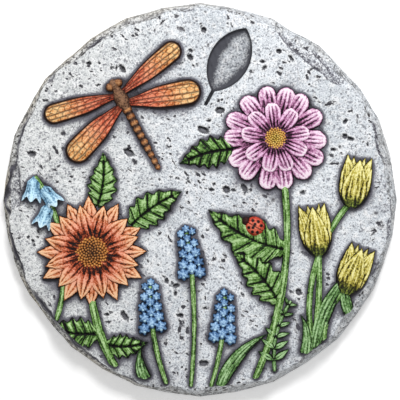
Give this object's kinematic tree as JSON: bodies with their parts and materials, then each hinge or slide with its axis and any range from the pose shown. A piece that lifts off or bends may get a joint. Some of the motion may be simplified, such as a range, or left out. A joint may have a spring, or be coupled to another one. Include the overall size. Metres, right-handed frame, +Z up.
{
  "type": "garden stepping stone",
  "caption": "Round cast garden stepping stone with a hewn rim, a painted relief of flowers, leaves and insects, and a leaf print pressed into its face.",
  "frame": {"origin": "centre of the flat underside", "axes": "+Z up out of the relief face, +Y towards the top of the picture"},
  "size_m": [0.254, 0.254, 0.0246],
  "materials": {
    "stone": "rough cast cement, light grey with a dark wash in its pits"
  },
  "bodies": {
    "root": {"stepping_stone": "stone"}
  },
  "joints": []
}
